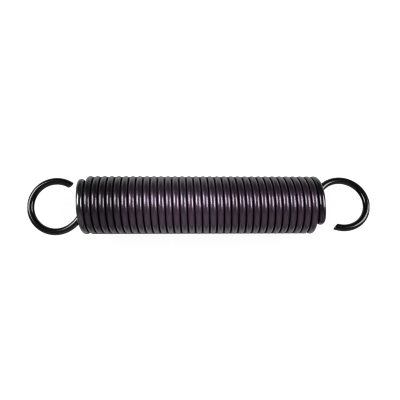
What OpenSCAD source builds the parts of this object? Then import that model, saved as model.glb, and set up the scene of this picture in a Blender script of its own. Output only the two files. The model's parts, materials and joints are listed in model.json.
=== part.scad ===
// Extension spring: one round wire, close-coiled right-handed, with a crossover loop at each end.
// The axis of the coil runs along X. Z points up from the surface that the spring lies on.

/* [Coil] */
// Diameter of the wire
wire_d = 2.28; // [1.6:0.01:2.6]
// Outside diameter of the coil
coil_od = 19.2; // [16:0.1:28]
// Clear gap between one turn and the next
turn_gap = 0.03; // [0.02:0.01:0.6]
// Whole turns between the first and the last pass over the top
turn_count = 33; // [6:1:45]

/* [Both ends] */
// Centreline radius of the tight bend that turns the wire in from the rim
bend_r = 2.7; // [1.8:0.1:3.4]
// Centreline radius of the loops
loop_r = 8.3; // [7:0.05:12]

/* [Left loop] */
// Degrees past the topmost line of the coil at which the wire leaves the rim
left_leave = 54.5; // [20:0.5:65]
// Lean of the crossing and of the loop's plane, in degrees off the X-Y plane
left_lean = -6.5; // [-10:0.5:20]
// Centreline radius of the stretch that leads from the crossing into the loop
left_lead_r = 10.2; // [6:0.05:12]
// Degrees that the leading stretch turns through
left_lead_sweep = 61; // [30:1:85]
// Degrees that the loop itself turns through
left_loop_sweep = 243; // [180:0.5:280]
// Offset of the loop's centre from the axis, along the crossing
left_offset = -0.09; // [-1:0.01:1]
// Slant of the sheared face on the free end, in degrees off square
left_cut_slant = 15; // [0:1:40]

/* [Right loop] */
// Degrees past the topmost line of the coil at which the wire leaves the rim
right_leave = 26; // [20:0.5:65]
// Lean of the crossing and of the loop's plane, in degrees off the X-Y plane
right_lean = 19.5; // [0:0.5:30]
// Centreline radius of the stretch that leads from the crossing into the loop
right_lead_r = 11.3; // [6:0.05:12]
// Degrees that the leading stretch turns through
right_lead_sweep = 27; // [20:1:85]
// Degrees that the loop itself turns through
right_loop_sweep = 262.5; // [180:0.5:280]
// Offset of the loop's centre from the axis, along the crossing
right_offset = -0.68; // [-1:0.01:1]
// Slant of the sheared face on the free end, in degrees off square
right_cut_slant = 23; // [0:1:40]

/* [Hidden] */

wire_color = [0.13, 0.11, 0.14];
wire_r = wire_d / 2;
turn_r = coil_od / 2 - wire_r;
pitch = wire_d + turn_gap;
// Each half turn is a flat arc, leant so that it climbs half a pitch from end to end
half_tilt = asin(pitch / (4 * turn_r));
coil_length = turn_count * pitch;

// The wire is made of arcs and straights that follow on from each other. Every second piece
// is slim: it is thinner by seam_step and runs on by seam_lap into both of its neighbours,
// so that the pieces join into one solid without a visible seam.
seam_step = 0.01;
seam_lap = 0.03;

// How far a loop's centre stands off from the end turn
function loop_reach(lead_r, lead_sweep) = lead_r + (loop_r - lead_r) * cos(lead_sweep);

// Straight crossing that brings the loop's centre level with the axis of the coil
function crossing_length(leave, lean, lead_r, lead_sweep, offset) =
    (turn_r - bend_r) * sin(leave + lean) + (loop_r - lead_r) * sin(lead_sweep) + offset;

// Straight wire past the loop's end, up to the middle of the slanted cut
function cut_stub(slant) = wire_r * tan(slant) + 0.2;

left_end_x = -loop_reach(left_lead_r, left_lead_sweep) - loop_r - wire_r;
right_end_x = coil_length + loop_reach(right_lead_r, right_lead_sweep) + loop_r + wire_r;

$fn = 96;

// Arc of wire in the X-Y plane about the origin, from +X round to the sweep angle
module wire_arc(radius, sweep, slim) {
    lap = slim ? seam_lap / radius * 180 / PI : 0;
    rotate([0, 0, -lap])
        rotate_extrude(angle = sweep + 2 * lap)
            translate([radius, 0]) circle(d = slim ? wire_d - seam_step : wire_d, $fn = 32);
}

// Bend of a wire that starts at the origin towards +X and curves to +Y.
// What follows it is carried on from its far end.
module bend(radius, sweep, slim) {
    translate([0, radius, 0]) rotate([0, 0, -90]) wire_arc(radius, sweep, slim);
    translate([radius * sin(sweep), radius * (1 - cos(sweep)), 0])
        rotate([0, 0, sweep]) children();
}

// Straight wire from the origin towards +X, with what follows carried on from its far end
module straight(length) {
    rotate([0, 90, 0]) cylinder(d = wire_d, h = length, $fn = 32);
    translate([length, 0, 0]) children();
}

// Turns the plane of the bends that follow about the wire
module twist(angle) {
    rotate([angle, 0, 0]) children();
}

// Sheared end of the wire: the outer side of the loop is left longer than the inner side
module cut_end(slant) {
    stub = cut_stub(slant);
    difference() {
        translate([-seam_lap, 0, 0])
            rotate([0, 90, 0])
                cylinder(d = wire_d - seam_step, h = seam_lap + 2 * stub, $fn = 32);
        translate([stub, 0, 0])
            rotate([0, 0, slant])
                translate([0, -wire_d, -wire_d])
                    cube([4 * stub, 2 * wire_d, 2 * wire_d]);
    }
}

// Frame of a half turn that goes from +Y over the top to -Y, climbing along X, with its middle at x.
// What is drawn in it lies in the plane of the arc: local X is its top, local Y its start.
module half_turn_plane(x) {
    translate([x, 0, 0])
        rotate([0, 0, half_tilt])
            rotate([0, -90, 0]) children();
}

// Part of such a half turn, between two angles from its start at +Y
module turn_arc(x, from, to, slim) {
    half_turn_plane(x) rotate([0, 0, 90 - to]) wire_arc(turn_r, to - from, slim);
}

// Turns of the coil as half turns: full ones over the top and slim ones under the bottom
module coil() {
    turn_arc(0, 90 - left_leave, 180, slim = false);
    for (i = [1:turn_count - 1]) turn_arc(i * pitch, 0, 180, slim = false);
    turn_arc(coil_length, 0, 90 + right_leave, slim = false);
    for (i = [0:turn_count - 1])
        translate([(i + 0.5) * pitch, 0, 0])
            rotate([180, 0, 0]) turn_arc(0, 0, 180, slim = true);
}

// End of the wire past the last turn: a tight bend off the rim, a straight crossing
// under the end turn and a loop in a plane through the crossing and the coil's axis.
module end_loop(x, leave, lean, lead_r, lead_sweep, loop_sweep, offset, cut_slant) {
    half_turn_plane(x)
        rotate([0, 0, -leave])
            translate([turn_r, 0, 0])
                rotate([180, 0, -90])
                    bend(bend_r, 180 - leave - lean, slim = true)
                        straight(crossing_length(leave, lean, lead_r, lead_sweep, offset))
                            twist(90)
                                bend(lead_r, lead_sweep, slim = true)
                                    bend(loop_r, loop_sweep, slim = false)
                                        cut_end(cut_slant);
}

module right_loop() {
    end_loop(coil_length, right_leave, right_lean, right_lead_r, right_lead_sweep,
        right_loop_sweep, right_offset, right_cut_slant);
}

module left_loop() {
    rotate([0, 0, 180])
        end_loop(0, left_leave, left_lean, left_lead_r, left_lead_sweep,
            left_loop_sweep, left_offset, left_cut_slant);
}

// The whole wire, lying with its middle over the origin
module spring() {
    color(wire_color)
        translate([-(left_end_x + right_end_x) / 2, 0, coil_od / 2]) {
            left_loop();
            coil();
            right_loop();
        }
}

spring();
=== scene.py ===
# %% [markdown]
# # A close-coiled extension spring
# The object is one length of round steel wire. A machine coils it into 33 tight turns, and then
# turns the last bit at each end inwards and round into a loop. Everything here is in metres, in
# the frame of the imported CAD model: X runs along the coil and Z points up from the floor.

import json
from math import asin, cos, pi, radians, sin, tan

import bmesh
import bpy
from mathutils import Matrix, Vector

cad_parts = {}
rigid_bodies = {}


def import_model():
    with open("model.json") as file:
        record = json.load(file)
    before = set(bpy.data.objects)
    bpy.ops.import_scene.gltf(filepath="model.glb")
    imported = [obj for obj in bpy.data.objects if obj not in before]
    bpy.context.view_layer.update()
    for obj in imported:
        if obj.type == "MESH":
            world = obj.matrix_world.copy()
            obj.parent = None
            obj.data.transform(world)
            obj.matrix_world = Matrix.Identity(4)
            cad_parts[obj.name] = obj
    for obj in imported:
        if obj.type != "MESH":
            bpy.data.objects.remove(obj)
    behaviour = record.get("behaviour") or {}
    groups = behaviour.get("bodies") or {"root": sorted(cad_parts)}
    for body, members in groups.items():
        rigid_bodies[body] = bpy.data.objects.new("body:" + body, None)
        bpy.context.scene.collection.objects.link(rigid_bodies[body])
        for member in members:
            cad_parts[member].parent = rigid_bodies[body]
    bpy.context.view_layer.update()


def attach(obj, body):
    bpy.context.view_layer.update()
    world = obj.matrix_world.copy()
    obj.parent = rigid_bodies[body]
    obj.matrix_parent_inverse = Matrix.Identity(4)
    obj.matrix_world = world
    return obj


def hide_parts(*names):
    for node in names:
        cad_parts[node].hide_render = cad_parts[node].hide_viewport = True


for thing in list(bpy.data.objects):
    bpy.data.objects.remove(thing)
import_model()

# %% [markdown]
# ## The sizes of the wire
# A spring maker's drawing gives the wire, the coil and each end as a few numbers. They are the
# numbers that the CAD source uses, so the detailed wire follows the same route. The angles of
# the ends are in degrees.

# %% Sizes from the drawing
MM = 0.001
WIRE_D = 2.28 * MM
COIL_OD = 19.2 * MM
TURN_GAP = 0.03 * MM
TURN_COUNT = 33
BEND_R = 2.7 * MM
LOOP_R = 8.3 * MM
CUT_SPARE = 0.2 * MM
LEFT_END = dict(
    leave=54.5,
    lean=-6.5,
    lead_r=10.2 * MM,
    lead_sweep=61,
    loop_sweep=243,
    offset=-0.09 * MM,
    cut_slant=15,
)
RIGHT_END = dict(
    leave=26,
    lean=19.5,
    lead_r=11.3 * MM,
    lead_sweep=27,
    loop_sweep=262.5,
    offset=-0.68 * MM,
    cut_slant=23,
)

WIRE_R = WIRE_D / 2
TURN_R = COIL_OD / 2 - WIRE_R
PITCH = WIRE_D + TURN_GAP
COIL_LENGTH = TURN_COUNT * PITCH
HALF_TILT = asin(PITCH / (4 * TURN_R))  # lean of the CAD's flat half turns


def loop_reach(end):
    """How far the loop's centre stands off from the end turn."""
    return end["lead_r"] + (LOOP_R - end["lead_r"]) * cos(radians(end["lead_sweep"]))


# the middle of the overall length lies over the origin
COIL_START = (loop_reach(LEFT_END) - COIL_LENGTH - loop_reach(RIGHT_END)) / 2
AXIS_Z = COIL_OD / 2
print(f"pitch {PITCH / MM:.3f} mm, coil {COIL_LENGTH / MM:.1f} mm long")

# %% [markdown]
# ## The camera
# The photograph looks straight down on the spring from close by, so that the turns near the
# middle hide their own sides and the outer ones show a little of theirs. The camera stands 14 cm
# above the coil's axis and is turned by a couple of degrees. Its pixel filter is one pixel wide,
# which keeps the wire's edges as crisp as they are in the photograph.

# %% Camera above the spring
PIXELS = 400
PX = MM / 3  # one pixel of the photograph, on the plane of the coil's axis
CAMERA_DISTANCE = 430 * PX
CAMERA_TURN = radians(1.857)
IMAGE_MIDDLE_RIGHT_OF_COIL_MIDDLE = -1.02 * PX
IMAGE_MIDDLE_ABOVE_AXIS = 5.03 * PX
SENSOR_WIDTH = 36  # Blender counts this one in millimetres
NEAREST_SEEN = 0.01
PIXEL_FILTER_WIDTH = 1.0

coil_middle = Vector((COIL_START + COIL_LENGTH / 2, 0, AXIS_Z))
turned = Matrix.Rotation(-CAMERA_TURN, 3, "Y")
camera_data = bpy.data.cameras.new("above_camera")
camera_data.sensor_width = SENSOR_WIDTH
camera_data.lens = SENSOR_WIDTH * CAMERA_DISTANCE / (PIXELS * PX)
camera_data.clip_start = NEAREST_SEEN
camera = bpy.data.objects.new("above_camera", camera_data)
bpy.context.scene.collection.objects.link(camera)
camera.location = coil_middle + turned @ Vector(
    (IMAGE_MIDDLE_RIGHT_OF_COIL_MIDDLE, IMAGE_MIDDLE_ABOVE_AXIS, CAMERA_DISTANCE)
)
camera.rotation_euler = turned.to_euler()
bpy.context.scene.camera = camera
bpy.context.scene.cycles.filter_width = PIXEL_FILTER_WIDTH
print("camera at", [round(v, 4) for v in camera.location], "lens", round(camera_data.lens, 2))

# %% [markdown]
# ## The route of the wire
# A bender draws the wire forward and bends it as it goes, and this class does the same: it keeps
# the place, the direction of the wire and the direction that it curls towards. Arcs, straights
# and twists of the bending plane then follow on from each other.


# %% A wire bender
class Bender:
    """Follows the middle of a wire and notes its points, directions and inward sides."""

    ARC_STEP = radians(4.5)

    def __init__(self, at, along, inward):
        self.at, self.along, self.inward = at, along.normalized(), inward.normalized()
        self.route = []

    def note(self):
        self.route.append((self.at.copy(), self.along.copy(), self.inward.copy()))

    def bend(self, radius, degrees):
        steps = max(1, round(radians(degrees) / self.ARC_STEP))
        turn = radians(degrees) / steps
        for _ in range(steps):
            centre = self.at + self.inward * radius
            along, inward = self.along, self.inward
            self.along = along * cos(turn) + inward * sin(turn)
            self.inward = inward * cos(turn) - along * sin(turn)
            self.at = centre - self.inward * radius
            self.note()

    def straight(self, length, steps=1):
        for _ in range(steps):
            self.at = self.at + self.along * (length / steps)
            self.note()

    def twist(self, degrees):
        self.inward = Matrix.Rotation(radians(degrees), 3, self.along) @ self.inward


print("bender ready")

# %% [markdown]
# ## The two ends
# At each end the wire leaves the rim in a tight bend, crosses the mouth of the coil and goes
# round into the loop. Both ends are the same chain of bends with other angles. The left one is
# the right one turned half round, so its points are turned with it. The last straight is one
# step long, which leaves room for the rounded edge of the cut.

# %% Route of one end
CROSSING_STEPS = 6


def end_route(end):
    """The route of a right-hand end whose last turn passes over the top at x 0."""
    leave, lean = radians(end["leave"]), radians(end["lean"])
    down = Vector((sin(HALF_TILT), -cos(HALF_TILT), 0))
    top = Vector((0, 0, 1))
    rim = (down * sin(leave) + top * cos(leave)) * TURN_R
    wire = Bender(rim, down * cos(leave) - top * sin(leave), -rim)
    crossing = (
        (TURN_R - BEND_R) * sin(leave + lean)
        + (LOOP_R - end["lead_r"]) * sin(radians(end["lead_sweep"]))
        + end["offset"]
    )
    wire.bend(BEND_R, 180 - end["leave"] - end["lean"])
    wire.straight(crossing, CROSSING_STEPS)
    wire.twist(90)
    wire.bend(end["lead_r"], end["lead_sweep"])
    wire.bend(LOOP_R, end["loop_sweep"])
    wire.straight(WIRE_R * tan(radians(end["cut_slant"])) + CUT_SPARE)
    return wire.route


def turned_round(v):
    """A vector turned half round about Z."""
    return Vector((-v.x, -v.y, v.z))


right_route = end_route(RIGHT_END)
left_route = [
    (turned_round(at), -turned_round(along), turned_round(inward))
    for at, along, inward in reversed(end_route(LEFT_END))
]
print(len(left_route), "points at the left end and", len(right_route), "at the right")

# %% [markdown]
# ## The turns
# Between the ends the wire is a helix. The CAD solid uses leant half turns, which kink a little
# where they meet, so the finished wire runs on a helix of the same width and only eases into the
# CAD's plane over the last part of the first and the last turn.

# %% A point of the coil
WHOLE_TURN = 2 * pi
LAST_TOP = WHOLE_TURN * TURN_COUNT


def ease(t):
    """Goes from 0 to 1 with a soft start and a soft stop."""
    t = min(max(t, 0.0), 1.0)
    return t * t * (3 - 2 * t)


def turn_point(angle):
    """A point of the coil, at an angle in radians from the first pass over the top."""
    beyond = min(angle, 0) if angle < LAST_TOP else angle - LAST_TOP
    leave = radians(LEFT_END["leave"] if angle < 0 else RIGHT_END["leave"])
    share = ease(abs(beyond) / leave)
    helix_x = PITCH * angle / WHOLE_TURN
    plane_x = helix_x - PITCH * beyond / WHOLE_TURN + PITCH / 4 * sin(beyond)
    x = helix_x + share * (plane_x - helix_x)
    return Vector((x, -TURN_R * sin(angle) * cos(HALF_TILT), TURN_R * cos(angle)))


print("first top", [round(v / MM, 2) for v in turn_point(0)], "mm from the coil's start")

# %% [markdown]
# Each point of the coil also notes whether a neighbour touches it on the left and on the right,
# which is where the finish paints shade between the turns. A neighbour comes near in the fourth
# quarter of the first turn, counted from the end of the coil, and lies close from then on.

# %% Route of the whole wire
DEGREES_PER_POINT = 5
SMALL_ANGLE = 1e-4


def neighbour_share(angle_from_end):
    """0 up to three quarters of a turn from the coil's end, 1 from a whole turn on."""
    return ease(angle_from_end / WHOLE_TURN * 4 - 3)


first, last = -radians(LEFT_END["leave"]), LAST_TOP + radians(RIGHT_END["leave"])
steps = round((last - first) / radians(DEGREES_PER_POINT))
coil_route, touches = [], []
for i in range(steps + 1):
    angle = first + (last - first) * i / steps
    at = turn_point(angle)
    along = (turn_point(angle + SMALL_ANGLE) - turn_point(angle - SMALL_ANGLE)).normalized()
    coil_route.append((at, along, Vector((0, -at.y, -at.z)).normalized()))
    touches.append((neighbour_share(angle - first), neighbour_share(last - angle), 0))

to_start = Vector((COIL_START, 0, AXIS_Z))
to_end = to_start + Vector((COIL_LENGTH, 0, 0))
route = [(at + to_start, a, n) for at, a, n in left_route + coil_route]
route += [(at + to_end, a, n) for at, a, n in right_route]
touches = [(0, 0, 0)] * len(left_route) + touches + [(0, 0, 0)] * len(right_route)
wire_length = sum((b[0] - a[0]).length for a, b in zip(route, route[1:]))
print(len(route), "points,", round(wire_length / MM), "mm of wire")

# %% [markdown]
# ## The wire as a swept section
# Geometry Nodes sweep a circle along the route. The route goes in as a mesh of points and edges
# that carries, at each point, the wire's direction, its inward side and the slope of the slanted
# cut, which fades out behind each end. The sweep hands these on to the surface, where they slant
# the sheared ends.

# %% The route as a mesh
SHEAR_REACH = 1.1 * MM


def shear_slopes(runs):
    """The slope of the cut at each distance along the wire."""
    at_left, at_right = tan(radians(LEFT_END["cut_slant"])), tan(radians(RIGHT_END["cut_slant"]))
    return [
        at_left * max(0.0, 1 - run / SHEAR_REACH)
        - at_right * max(0.0, 1 - (runs[-1] - run) / SHEAR_REACH)
        for run in runs
    ]


def route_mesh(route, touches):
    mesh = bpy.data.meshes.new("wire_route")
    mesh.from_pydata([at for at, _, _ in route], [(i, i + 1) for i in range(len(route) - 1)], [])
    runs = [0.0]
    for (a, _, _), (b, _, _) in zip(route, route[1:]):
        runs.append(runs[-1] + (b - a).length)
    shear = mesh.attributes.new("shear", "FLOAT", "POINT")
    shear.data.foreach_set("value", shear_slopes(runs))
    alongs, inwards = [along for _, along, _ in route], [inward for _, _, inward in route]
    for name, vectors in (("along", alongs), ("inward", inwards), ("touches", touches)):
        values = [v for vector in vectors for v in vector]
        mesh.attributes.new(name, "FLOAT_VECTOR", "POINT").data.foreach_set("vector", values)
    return mesh


wire_object = bpy.data.objects.new("wire_sweep", route_mesh(route, touches))
bpy.context.scene.collection.objects.link(wire_object)
print("route mesh with", len(wire_object.data.vertices), "points")

# %% [markdown]
# ## Helpers for trees of nodes
# Materials, Geometry Nodes and the world are all trees of nodes. These short functions make the
# nodes that come up again and again. Each takes either a socket, which it links, or a plain
# value, which it sets.

# %% Helpers
WHITE, BLACK = (1, 1, 1), (0, 0, 0)


def feed(tree, value, socket):
    if isinstance(value, bpy.types.NodeSocket):
        tree.links.new(value, socket)
    else:
        socket.default_value = value


def maths(tree, operation, a, b=0.0, c=0.0):
    node = tree.nodes.new("ShaderNodeMath")
    node.operation = operation
    for value, socket in zip((a, b, c), node.inputs):
        feed(tree, value, socket)
    return node.outputs[0]


def mix_color(tree, fac, a, b, mode="MIX"):
    node = tree.nodes.new("ShaderNodeMix")
    node.data_type = "RGBA"
    node.blend_type = mode
    # the node keeps a set of sockets for each data type, and these are the ones for colours
    fac_in, a_in, b_in, color_out = node.inputs[0], node.inputs[6], node.inputs[7], node.outputs[2]
    for value, socket in ((fac, fac_in), (a, a_in), (b, b_in)):
        feed(tree, value, socket)
    return color_out


def ramp(tree, fac, stops):
    node = tree.nodes.new("ShaderNodeValToRGB")
    elements = node.color_ramp.elements
    while len(elements) < len(stops):
        elements.new(0.5)
    for element, (position, color) in zip(elements, stops):
        element.position = position
        element.color = (*color, 1)
    feed(tree, fac, node.inputs["Fac"])
    return node.outputs["Color"]


print("helpers ready")

# %% [markdown]
# A noise makes most patterns of a finish. A Mapping node in front of it stretches the pattern:
# the larger the scale on an axis, the finer the pattern along it.


# %% Helpers for finishes
def noise(tree, vector, scale=1.0, detail=2.0, roughness=0.5):
    node = tree.nodes.new("ShaderNodeTexNoise")
    node.inputs["Scale"].default_value = scale
    node.inputs["Detail"].default_value = detail
    node.inputs["Roughness"].default_value = roughness
    feed(tree, vector, node.inputs["Vector"])
    return node.outputs["Fac"]


def stretched(tree, vector, scale):
    node = tree.nodes.new("ShaderNodeMapping")
    node.inputs["Scale"].default_value = scale
    feed(tree, vector, node.inputs["Vector"])
    return node.outputs["Vector"]


def bumped(tree, height, distance, strength):
    node = tree.nodes.new("ShaderNodeBump")
    node.inputs["Distance"].default_value = distance
    feed(tree, height, node.inputs["Height"])
    feed(tree, strength, node.inputs["Strength"])
    return node.outputs["Normal"]


def new_finish(name):
    material = bpy.data.materials.new(name)
    material.use_nodes = True
    tree = material.node_tree
    return material, tree, tree.nodes["Principled BSDF"]


def own_place(tree):
    return tree.nodes.new("ShaderNodeTexCoord").outputs["Object"]


print("finish helpers ready")

# %% [markdown]
# ## The finish of the wire
# The wire is oil-tempered steel: a thin oxide that is black at the ends and violet along the
# coil, where it grew a little thicker, under a film of oil. The colour follows the share of the
# wire's length, a noise makes its limits uneven, and another one makes it a little browner or
# bluer by turns. The two end turns are a lighter, plain grey.

# %% Colour of the oxide
# the black of the oxide at the ends, and also of the painted shade where turns meet
OXIDE_AND_SHADE_BLACK = (0.003, 0.003, 0.003)
OXIDE_GREY = (0.036, 0.027, 0.037)
OXIDE_PLUM = (0.085, 0.054, 0.087)
OXIDE_VIOLET = (0.120, 0.080, 0.122)
# a lighter grey for the two end turns
END_TURN_GREY = (0.080, 0.076, 0.080)
# the share of the wire's length, and the colour there
OXIDE_ALONG = [
    (0.015, OXIDE_AND_SHADE_BLACK),
    (0.028, END_TURN_GREY),
    (0.045, END_TURN_GREY),
    (0.055, OXIDE_GREY),
    (0.15, OXIDE_GREY),
    (0.22, OXIDE_PLUM),
    (0.36, OXIDE_VIOLET),
    (0.55, OXIDE_VIOLET),
    (0.62, OXIDE_PLUM),
    (0.945, OXIDE_PLUM),
    (0.955, OXIDE_GREY),
    (0.975, OXIDE_GREY),
    (0.985, OXIDE_AND_SHADE_BLACK),
]
LIMIT_SCALE, LIMIT_REACH = (22, 60, 60), 0.03
HUE_SCALE = (14, 30, 30)
BROWNER, BLUER = (1.03, 0.99, 0.96), (0.96, 1.01, 1.04)
HUES = [(0.38, BROWNER), (0.5, WHITE), (0.62, BLUER)]


def oxide_tint(tree, space, share):
    drift = maths(tree, "SUBTRACT", noise(tree, stretched(tree, space, LIMIT_SCALE)), 0.5)
    drifted = maths(tree, "MULTIPLY_ADD", drift, LIMIT_REACH, share)
    hue = ramp(tree, noise(tree, stretched(tree, space, HUE_SCALE)), HUES)
    return mix_color(tree, 1.0, ramp(tree, drifted, OXIDE_ALONG), hue, "MULTIPLY")


print("oxide in", len(OXIDE_ALONG), "steps along the wire")

# %% [markdown]
# Drawing through the die left fine lines along the wire. They bump the oxide but not the film of
# oil, so they spread a soft violet skirt across the wire on both sides of each streak's white
# core. Other ways would be a brushed image texture or an anisotropic shader, but the lines stay
# sharp in a close view and need no picture. The ends of the wire, loops and end turns, are
# smoother, so their streaks are the brightest.

# %% Die lines and grain
DIE_LINE_SCALE = (60, 18000, 18000)
DIE_LINE_DEPTH = 0.027 * MM
GRAIN_SCALE = 2600
GRAIN_HEIGHT = 0.05
OXIDE_ROUGHNESS, LINE_ROUGHNESS, GRAIN_ROUGHNESS = 0.28, 0.08, 0.04
# the ends of the wire are smoother and their die lines flatter
WIRE_ENDS_SMOOTHER, WIRE_ENDS_FLATTER = 0.13, 0.6


def drawn_surface(tree, space, wire_ends):
    """The roughness and the normal of the oxide."""
    lines = noise(tree, stretched(tree, space, DIE_LINE_SCALE))
    grain = noise(tree, own_place(tree), GRAIN_SCALE)
    rough = maths(tree, "MULTIPLY_ADD", lines, LINE_ROUGHNESS, OXIDE_ROUGHNESS)
    rough = maths(tree, "MULTIPLY_ADD", grain, GRAIN_ROUGHNESS, rough)
    rough = maths(tree, "MULTIPLY_ADD", wire_ends, -WIRE_ENDS_SMOOTHER, rough)
    height = maths(tree, "MULTIPLY_ADD", grain, GRAIN_HEIGHT, lines)
    strength = maths(tree, "MULTIPLY_ADD", wire_ends, -WIRE_ENDS_FLATTER, 1.0)
    return rough, bumped(tree, height, DIE_LINE_DEPTH, strength)


print("die lines ready")

# %% [markdown]
# The oxide is a dark metallic base and the film is the shader's coat, which gives the sharp white
# core of each streak. Where two turns meet, both fade to matt black without metal or coat, as
# painted shade in the grooves. All the patterns read a coordinate that follows the wire, which
# the sweep stores as wire_space: the distance along the wire and the place on its round section.

# %% Blackened wire
OXIDE_METALLIC = 0.94
FILM_IOR = 1.5
FILM_ROUGHNESS = 0.17
# painted shade in the grooves: near the line where turns meet, the wire fades to matt black
PAINTED_GROOVE_SHADE = [(0.62, WHITE), (0.92, BLACK)]
# the share of the wire's length at its two ends, loops and end turns
WIRE_ENDS_ALONG = [(0.045, WHITE), (0.053, BLACK), (0.95, BLACK), (0.958, WHITE)]


def stored(tree, name):
    node = tree.nodes.new("ShaderNodeAttribute")
    node.attribute_name = name
    return node


def blackened_wire(wire_length):
    material, tree, shader = new_finish("blackened_spring_wire")
    shader.inputs["Specular IOR Level"].default_value = 0.0
    shader.inputs["Coat IOR"].default_value = FILM_IOR
    shader.inputs["Coat Roughness"].default_value = FILM_ROUGHNESS

    space = stored(tree, "wire_space").outputs["Vector"]
    along = tree.nodes.new("ShaderNodeSeparateXYZ")
    feed(tree, space, along.inputs[0])
    share = maths(tree, "DIVIDE", along.outputs["X"], wire_length)
    wire_ends = ramp(tree, share, WIRE_ENDS_ALONG)
    # painted shade: 1 away from the grooves, 0 where the turns meet
    away_from_groove_shade = ramp(tree, stored(tree, "painted_groove_shade").outputs["Fac"], PAINTED_GROOVE_SHADE)

    tint = mix_color(tree, away_from_groove_shade, (*OXIDE_AND_SHADE_BLACK, 1), oxide_tint(tree, space, share))
    rough, normal = drawn_surface(tree, space, wire_ends)
    feed(tree, tint, shader.inputs["Base Color"])
    feed(tree, maths(tree, "MULTIPLY", away_from_groove_shade, OXIDE_METALLIC), shader.inputs["Metallic"])
    feed(tree, away_from_groove_shade, shader.inputs["Coat Weight"])
    feed(tree, rough, shader.inputs["Roughness"])
    feed(tree, normal, shader.inputs["Normal"])
    return material


wire_finish = blackened_wire(wire_length)
print("made", wire_finish.name)

# %% [markdown]
# ## The sweep as a tree
# The tree turns the route into a curve and sweeps a circle along it. Both first store their own
# place, so that the finished surface still knows where the middle of the wire is and which part
# of the section it belongs to. That is enough to slant the cuts, to find the lines where the
# turns meet, which get painted shade, and to make the coordinate that the finish follows.


# %% Helpers for Geometry Nodes
def read(tree, name, kind="FLOAT_VECTOR"):
    node = tree.nodes.new("GeometryNodeInputNamedAttribute")
    node.data_type = kind
    node.inputs["Name"].default_value = name
    return node.outputs["Attribute"]


def store(tree, geometry, name, value, kind="FLOAT_VECTOR"):
    node = tree.nodes.new("GeometryNodeStoreNamedAttribute")
    node.data_type = kind
    node.inputs["Name"].default_value = name
    feed(tree, geometry, node.inputs["Geometry"])
    feed(tree, value, node.inputs["Value"])
    return node.outputs["Geometry"]


def vector_math(tree, operation, a, b, out="Vector"):
    node = tree.nodes.new("ShaderNodeVectorMath")
    node.operation = operation
    feed(tree, a, node.inputs[0])
    feed(tree, b, node.inputs["Scale"] if operation == "SCALE" else node.inputs[1])
    return node.outputs[out]


def split(tree, vector):
    node = tree.nodes.new("ShaderNodeSeparateXYZ")
    feed(tree, vector, node.inputs[0])
    return node.outputs["X"], node.outputs["Y"]


print("geometry helpers ready")

# %% [markdown]
# The surface's two stored values come first, each from a function of its own. The painted groove
# shade is 1 on the line where a turn touches its neighbour and falls to 0 at the top of the wire.


# %% What the surface stores
def painted_groove_shade_value(tree, from_middle, radius):
    """How near each place is to the line where it touches the next turn, for painted shade."""
    sideways, _ = split(tree, from_middle)
    on_left, on_right = split(tree, read(tree, "touches"))
    side = maths(tree, "DIVIDE", sideways, radius)
    on_left = maths(tree, "MULTIPLY", maths(tree, "MULTIPLY", side, -1.0), on_left)
    on_right = maths(tree, "MULTIPLY", side, on_right)
    return maths(tree, "MAXIMUM", on_left, on_right)


def wire_space_value(tree):
    """The distance along the wire and the place on its section."""
    section_x, section_y = split(tree, read(tree, "section"))
    space = tree.nodes.new("ShaderNodeCombineXYZ")
    feed(tree, read(tree, "run", "FLOAT"), space.inputs["X"])
    feed(tree, section_x, space.inputs["Y"])
    feed(tree, section_y, space.inputs["Z"])
    return space.outputs["Vector"]


print("surface values ready")

# %% [markdown]
# The tree itself has named inputs for the wire's diameter, the number of its sides and its
# finish. It ends in Realize Instances and Set Material, so that the export finds plain geometry.


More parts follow.
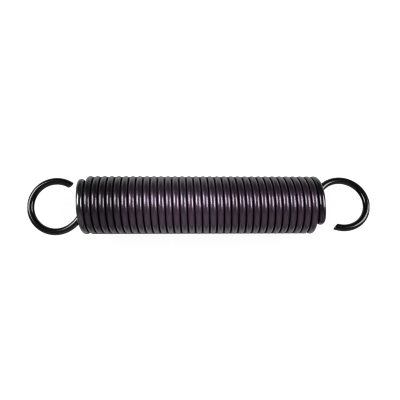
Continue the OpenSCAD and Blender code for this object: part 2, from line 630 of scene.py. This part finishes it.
# %% The sweep
def sweep_tree():
    tree = bpy.data.node_groups.new("wire_sweep", "GeometryNodeTree")
    face = tree.interface
    face.new_socket("Route", in_out="INPUT", socket_type="NodeSocketGeometry")
    face.new_socket("Wire Diameter", in_out="INPUT", socket_type="NodeSocketFloat")
    face.new_socket("Sides", in_out="INPUT", socket_type="NodeSocketInt")
    face.new_socket("Finish", in_out="INPUT", socket_type="NodeSocketMaterial")
    face.new_socket("Wire", in_out="OUTPUT", socket_type="NodeSocketGeometry")
    new, link = tree.nodes.new, tree.links.new
    given, result = new("NodeGroupInput"), new("NodeGroupOutput")

    # the middle line, with its place and the distance along it
    curve = new("GeometryNodeMeshToCurve")
    link(given.outputs["Route"], curve.inputs["Mesh"])
    here = new("GeometryNodeInputPosition").outputs["Position"]
    run = new("GeometryNodeSplineParameter").outputs["Length"]
    path = store(tree, curve.outputs["Curve"], "middle", here)
    path = store(tree, path, "run", run, "FLOAT")

    # the round section, which keeps its own flat coordinates
    circle = new("GeometryNodeCurvePrimitiveCircle")
    link(given.outputs["Sides"], circle.inputs["Resolution"])
    radius = maths(tree, "MULTIPLY", given.outputs["Wire Diameter"], 0.5)
    link(radius, circle.inputs["Radius"])
    section = store(tree, circle.outputs["Curve"], "section", here)

    sweep = new("GeometryNodeCurveToMesh")
    link(path, sweep.inputs["Curve"])
    link(section, sweep.inputs["Profile Curve"])
    sweep.inputs["Fill Caps"].default_value = True

    # the sheared ends: the outer side of the loop is left longer than the inner side
    from_middle = vector_math(tree, "SUBTRACT", here, read(tree, "middle"))
    depth = vector_math(tree, "DOT_PRODUCT", from_middle, read(tree, "inward"), "Value")
    slide = maths(tree, "MULTIPLY", depth, read(tree, "shear", "FLOAT"))
    moved = new("GeometryNodeSetPosition")
    link(sweep.outputs["Mesh"], moved.inputs["Geometry"])
    link(vector_math(tree, "SCALE", read(tree, "along"), slide), moved.inputs["Offset"])

    wire = store(tree, moved.outputs["Geometry"], "wire_space", wire_space_value(tree))
    # the weight of the painted shade in the grooves
    wire = store(tree, wire, "painted_groove_shade", painted_groove_shade_value(tree, from_middle, radius), "FLOAT")

    whole, painted = new("GeometryNodeRealizeInstances"), new("GeometryNodeSetMaterial")
    link(wire, whole.inputs["Geometry"])
    link(whole.outputs["Geometry"], painted.inputs["Geometry"])
    link(given.outputs["Finish"], painted.inputs["Material"])
    link(painted.outputs["Geometry"], result.inputs["Wire"])
    return tree


sweep_group = sweep_tree()
print("sweep tree with", len(sweep_group.nodes), "nodes")

# %% [markdown]
# The modifier's inputs are set by their identifiers, and the evaluated result becomes a plain
# mesh. Twenty-eight sides keep the wire round even in a close view.

# %% Sweep the wire
WIRE_SIDES = 28


def swept(route_object, values):
    """Runs the sweep on a route and returns its result as a plain mesh."""
    modifier = route_object.modifiers.new("sweep", "NODES")
    modifier.node_group = sweep_group
    for item in sweep_group.interface.items_tree:
        if item.in_out == "INPUT" and item.name in values:
            modifier[item.identifier] = values[item.name]
    graph = bpy.context.evaluated_depsgraph_get()
    mesh = bpy.data.meshes.new_from_object(route_object.evaluated_get(graph))
    route_object.modifiers.remove(modifier)
    return mesh


wire_mesh = swept(
    wire_object,
    {"Wire Diameter": WIRE_D, "Sides": WIRE_SIDES, "Finish": wire_finish},
)
bpy.data.objects.remove(wire_object)
print(len(wire_mesh.vertices), "points and", len(wire_mesh.polygons), "faces")

# %% [markdown]
# ## The sheared ends
# A cutter shears the wire off, which leaves a flat face of bare, brighter metal. It is a little
# torn, so one noise gives its colour, its roughness and its bumps.

# %% Bare metal of the cut
TORN_SCALE, TORN_STRETCH = 3000, (1, 1, 4)
TORN_COLORS = [(0.3, (0.10, 0.09, 0.10)), (0.75, (0.30, 0.28, 0.29))]
TORN_ROUGHNESS = 0.3
TORN_DEPTH, TORN_STRENGTH = 0.05 * MM, 0.4


def bare_cut():
    material, tree, shader = new_finish("sheared_steel")
    shader.inputs["Metallic"].default_value = 1.0
    torn = noise(tree, stretched(tree, own_place(tree), TORN_STRETCH), TORN_SCALE, 3.0, 0.6)
    rough = maths(tree, "MULTIPLY_ADD", torn, TORN_ROUGHNESS, TORN_ROUGHNESS)
    feed(tree, ramp(tree, torn, TORN_COLORS), shader.inputs["Base Color"])
    feed(tree, rough, shader.inputs["Roughness"])
    feed(tree, bumped(tree, torn, TORN_DEPTH, TORN_STRENGTH), shader.inputs["Normal"])
    return material


cut_finish = bare_cut()
print("made", cut_finish.name)

# %% [markdown]
# The edge of the cut is slightly rounded. The two end faces are the only ones with more than
# four corners, so they are easy to find. Their rims are bevelled, and the faces get the bare
# finish.

# %% Break the edges of the cuts
EDGE_BREAK = 0.28 * MM
EDGE_SEGMENTS = 3

wire_mesh.materials.append(cut_finish)
work = bmesh.new()
work.from_mesh(wire_mesh)
caps = [f for f in work.faces if len(f.verts) > 4]
for f in work.faces:
    f.smooth = True
for f in caps:
    f.smooth = False
    f.material_index = 1
bmesh.ops.bevel(
    work,
    geom=[e for f in caps for e in f.edges],
    offset=EDGE_BREAK,
    offset_type="OFFSET",
    segments=EDGE_SEGMENTS,
    profile=0.5,
    affect="EDGES",
    material=-1,
)
bmesh.ops.recalc_face_normals(work, faces=work.faces)
work.to_mesh(wire_mesh)
work.free()

spring_wire = bpy.data.objects.new("spring_wire", wire_mesh)
bpy.context.scene.collection.objects.link(spring_wire)
triangles = sum(len(p.vertices) - 2 for p in wire_mesh.polygons)
print("caps", len(caps), "triangles", triangles)

# %% [markdown]
# ## Floor
# The spring lies on a plain white table. The floor glows to the camera, up to white where it is
# lit, but not in a strip under the coil, which stays dark as a painted shadow. So the floor needs
# to know how far each of its places lies outside that strip.

# %% Floor and the painted shadow under the coil
FLOOR_HALF = 1.2
# the painted shadow: the strip under the coil, across Y, where the floor doesn't glow
PAINTED_SHADOW_Y = (-10.3 * MM, 9.85 * MM)

floor_mesh = bpy.data.meshes.new("floor")
floor_corners = [(-1, -1), (1, -1), (1, 1), (-1, 1)]
floor_mesh.from_pydata(
    [(x * FLOOR_HALF, y * FLOOR_HALF, 0) for x, y in floor_corners], [], [(0, 1, 2, 3)]
)
floor = bpy.data.objects.new("floor", floor_mesh)
bpy.context.scene.collection.objects.link(floor)


def outside_span(tree, value, middle, half):
    """How far a value lies outside a span, and 0 inside it."""
    off = maths(tree, "ABSOLUTE", maths(tree, "SUBTRACT", value, middle))
    return maths(tree, "MAXIMUM", maths(tree, "SUBTRACT", off, half), 0.0)


def outside_painted_shadow(tree, x, y):
    """How far a place on the floor lies outside the painted shadow strip under the coil."""
    middle_y = (PAINTED_SHADOW_Y[0] + PAINTED_SHADOW_Y[1]) / 2
    beyond_x = outside_span(tree, x, coil_middle.x, COIL_LENGTH / 2)
    beyond_y = outside_span(tree, y, middle_y, PAINTED_SHADOW_Y[1] - middle_y)
    squared_y = maths(tree, "MULTIPLY", beyond_y, beyond_y)
    return maths(tree, "SQRT", maths(tree, "MULTIPLY_ADD", beyond_x, beyond_x, squared_y))


print("floor laid")

# %% [markdown]
# The gloss of the wire shows the table too, with painted shade and light on it: a painted shadow
# close to the coil, a painted pool of light a centimetre or two away, then dimmer, and painted
# shade that makes it a little dimmer in front of the spring than behind it. Light Path tells which
# kind of ray asks, so the camera and the gloss can be answered apart.

# %% White floor
FLOOR_DIFFUSE = 0.12
FLOOR_GLOW = 0.93
# painted shade: how much dimmer the gloss shows the floor in front of the spring
PAINTED_FRONT_SHADE = 0.22
FLOOR_REACH = 0.2
# how far a place lies outside the strip, and how bright the gloss shows it: painted shadow and
# light
PAINTED_SHADE_AND_LIGHT_IN_GLOSS = [
    (0, 0.05),
    (0.005, 0.17),
    (0.010, 0.54),
    (0.02, 0.50),
    (0.035, 0.36),
    (0.055, 0.14),
    (0.2, 0.09),
]


def white_floor():
    material = bpy.data.materials.new("white_floor")
    material.use_nodes = True
    tree = material.node_tree
    tree.nodes.clear()
    output = tree.nodes.new("ShaderNodeOutputMaterial")
    matt = tree.nodes.new("ShaderNodeBsdfDiffuse")
    matt.inputs["Color"].default_value = (FLOOR_DIFFUSE, FLOOR_DIFFUSE, FLOOR_DIFFUSE, 1)
    glow = tree.nodes.new("ShaderNodeEmission")
    rays = tree.nodes.new("ShaderNodeLightPath")
    x, y = split(tree, own_place(tree))
    beyond = outside_painted_shadow(tree, x, y)

    stops = [(at / FLOOR_REACH, (level, level, level)) for at, level in PAINTED_SHADE_AND_LIGHT_IN_GLOSS]
    # painted shadow near the coil and a painted pool of light beyond it, seen only in the gloss
    painted_gloss_floor = ramp(tree, maths(tree, "DIVIDE", beyond, FLOOR_REACH), stops)
    front_painted_shade = maths(tree, "MULTIPLY_ADD", maths(tree, "LESS_THAN", y, 0.0), -PAINTED_FRONT_SHADE, 1.0)
    painted_gloss_floor = maths(tree, "MULTIPLY", front_painted_shade, painted_gloss_floor)
    painted_gloss_floor = maths(tree, "MULTIPLY", rays.outputs["Is Glossy Ray"], painted_gloss_floor)
    # painted shadow: the camera sees no glow in the strip under the coil
    in_view = maths(tree, "MULTIPLY", maths(tree, "GREATER_THAN", beyond, 0.0), FLOOR_GLOW)
    seen = maths(tree, "MULTIPLY_ADD", rays.outputs["Is Camera Ray"], in_view, painted_gloss_floor)
    feed(tree, seen, glow.inputs["Strength"])

    both = tree.nodes.new("ShaderNodeAddShader")
    tree.links.new(matt.outputs[0], both.inputs[0])
    tree.links.new(glow.outputs[0], both.inputs[1])
    tree.links.new(both.outputs[0], output.inputs["Surface"])
    return material


floor_mesh.materials.append(white_floor())
print("made", floor_mesh.materials[0].name)

# %% [markdown]
# ## Light
# A dark, glossy wire shows its surroundings more than its own colour. Two soft lamps, one to the
# left and one to the right, give each turn its pair of bright streaks. Two small cards beyond the
# loops edge the loops and the end turns with light.

# %% Lamps
LAMP_COLOR = (0.96, 1.0, 0.97)
LAMP_DISTANCE = 0.25
# the direction from the top of the coil, the size of the face and its radiance
LAMPS = {
    "left_lamp": (Vector((-0.774, 0.271, 0.558)), (0.13, 0.120), 10.4),
    "right_lamp": (Vector((0.780, 0.207, 0.583)), (0.13, 0.134), 9.0),
}
CARD_RADIANCE = 4.0
CARD_SIZE = (15 * MM, 13 * MM)
CARDS = {"left_card": Vector((-95, 3.5, 7)) * MM, "right_card": Vector((95, 3.5, 7)) * MM}


def aim(lamp, target):
    """Turns a lamp's face to the target and keeps its Y axis close to the world's."""
    back = (lamp.location - target).normalized()
    right = Vector((0, 1, 0)).cross(back).normalized()
    lamp.rotation_euler = Matrix((right, back.cross(right), back)).transposed().to_euler()


def soft_light(name, at, target, size, radiance):
    """A rectangular lamp whose face has the given radiance."""
    data = bpy.data.lights.new(name, "AREA")
    data.shape = "RECTANGLE"
    data.size, data.size_y = size
    data.energy = radiance * pi * size[0] * size[1]
    data.color = LAMP_COLOR
    lamp = bpy.data.objects.new(name, data)
    bpy.context.scene.collection.objects.link(lamp)
    lamp.location = at
    lamp.visible_camera = False
    aim(lamp, target)


coil_top = Vector((0, 0, COIL_OD))
for name, (toward_lamp, size, radiance) in LAMPS.items():
    at = coil_top + toward_lamp.normalized() * LAMP_DISTANCE
    soft_light(name, at, coil_top, size, radiance)
for name, at in CARDS.items():
    soft_light(name, at, Vector((0, at.y, at.z)), CARD_SIZE, CARD_RADIANCE)
print(len(LAMPS), "lamps hung and", len(CARDS), "cards stood up")

# %% [markdown]
# The dim room gives the wire the tone between the streaks and the rims. It is lighter in front of
# the spring and darker towards its back corners. The camera sees plain white instead of it, which
# Light Path decides here as well.

# %% The dim room
# how far a direction points to the back, from -1 to 1, and how bright the room is there
ROOM = [
    (-1.00, 0.42),
    (-0.60, 0.42),
    (-0.38, 0.12),
    (-0.20, 0.12),
    (0.40, 0.10),
    (0.88, 0.08),
    (1.00, 0.08),
]
ROOM_COLOR = (1, 0.88, 1)
CORNER_DARK = 1.6

world = bpy.data.worlds.new("dim_room")
bpy.context.scene.world = world
world.use_nodes = True
sky = world.node_tree
direction = sky.nodes.new("ShaderNodeTexCoord").outputs["Generated"]
sideways, backwards = split(sky, direction)
room_share = maths(sky, "MULTIPLY_ADD", backwards, 0.5, 0.5)
room_stops = [((y + 1) / 2, [level * c for c in ROOM_COLOR]) for y, level in ROOM]
room = ramp(sky, room_share, room_stops)
corner = maths(sky, "MULTIPLY", sideways, sideways)
corner = maths(sky, "MULTIPLY", corner, maths(sky, "MAXIMUM", backwards, 0.0))
lit = maths(sky, "MULTIPLY_ADD", corner, -CORNER_DARK, 1.0)
room = mix_color(sky, lit, (*BLACK, 1), room)
by_camera = sky.nodes.new("ShaderNodeLightPath").outputs["Is Camera Ray"]
feed(sky, mix_color(sky, by_camera, room, (*WHITE, 1)), sky.nodes["Background"].inputs["Color"])
bpy.context.scene.view_settings.view_transform = "Standard"
print("room lit")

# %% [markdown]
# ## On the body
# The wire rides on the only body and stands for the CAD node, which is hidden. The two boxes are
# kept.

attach(spring_wire, "root")
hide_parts("spring")
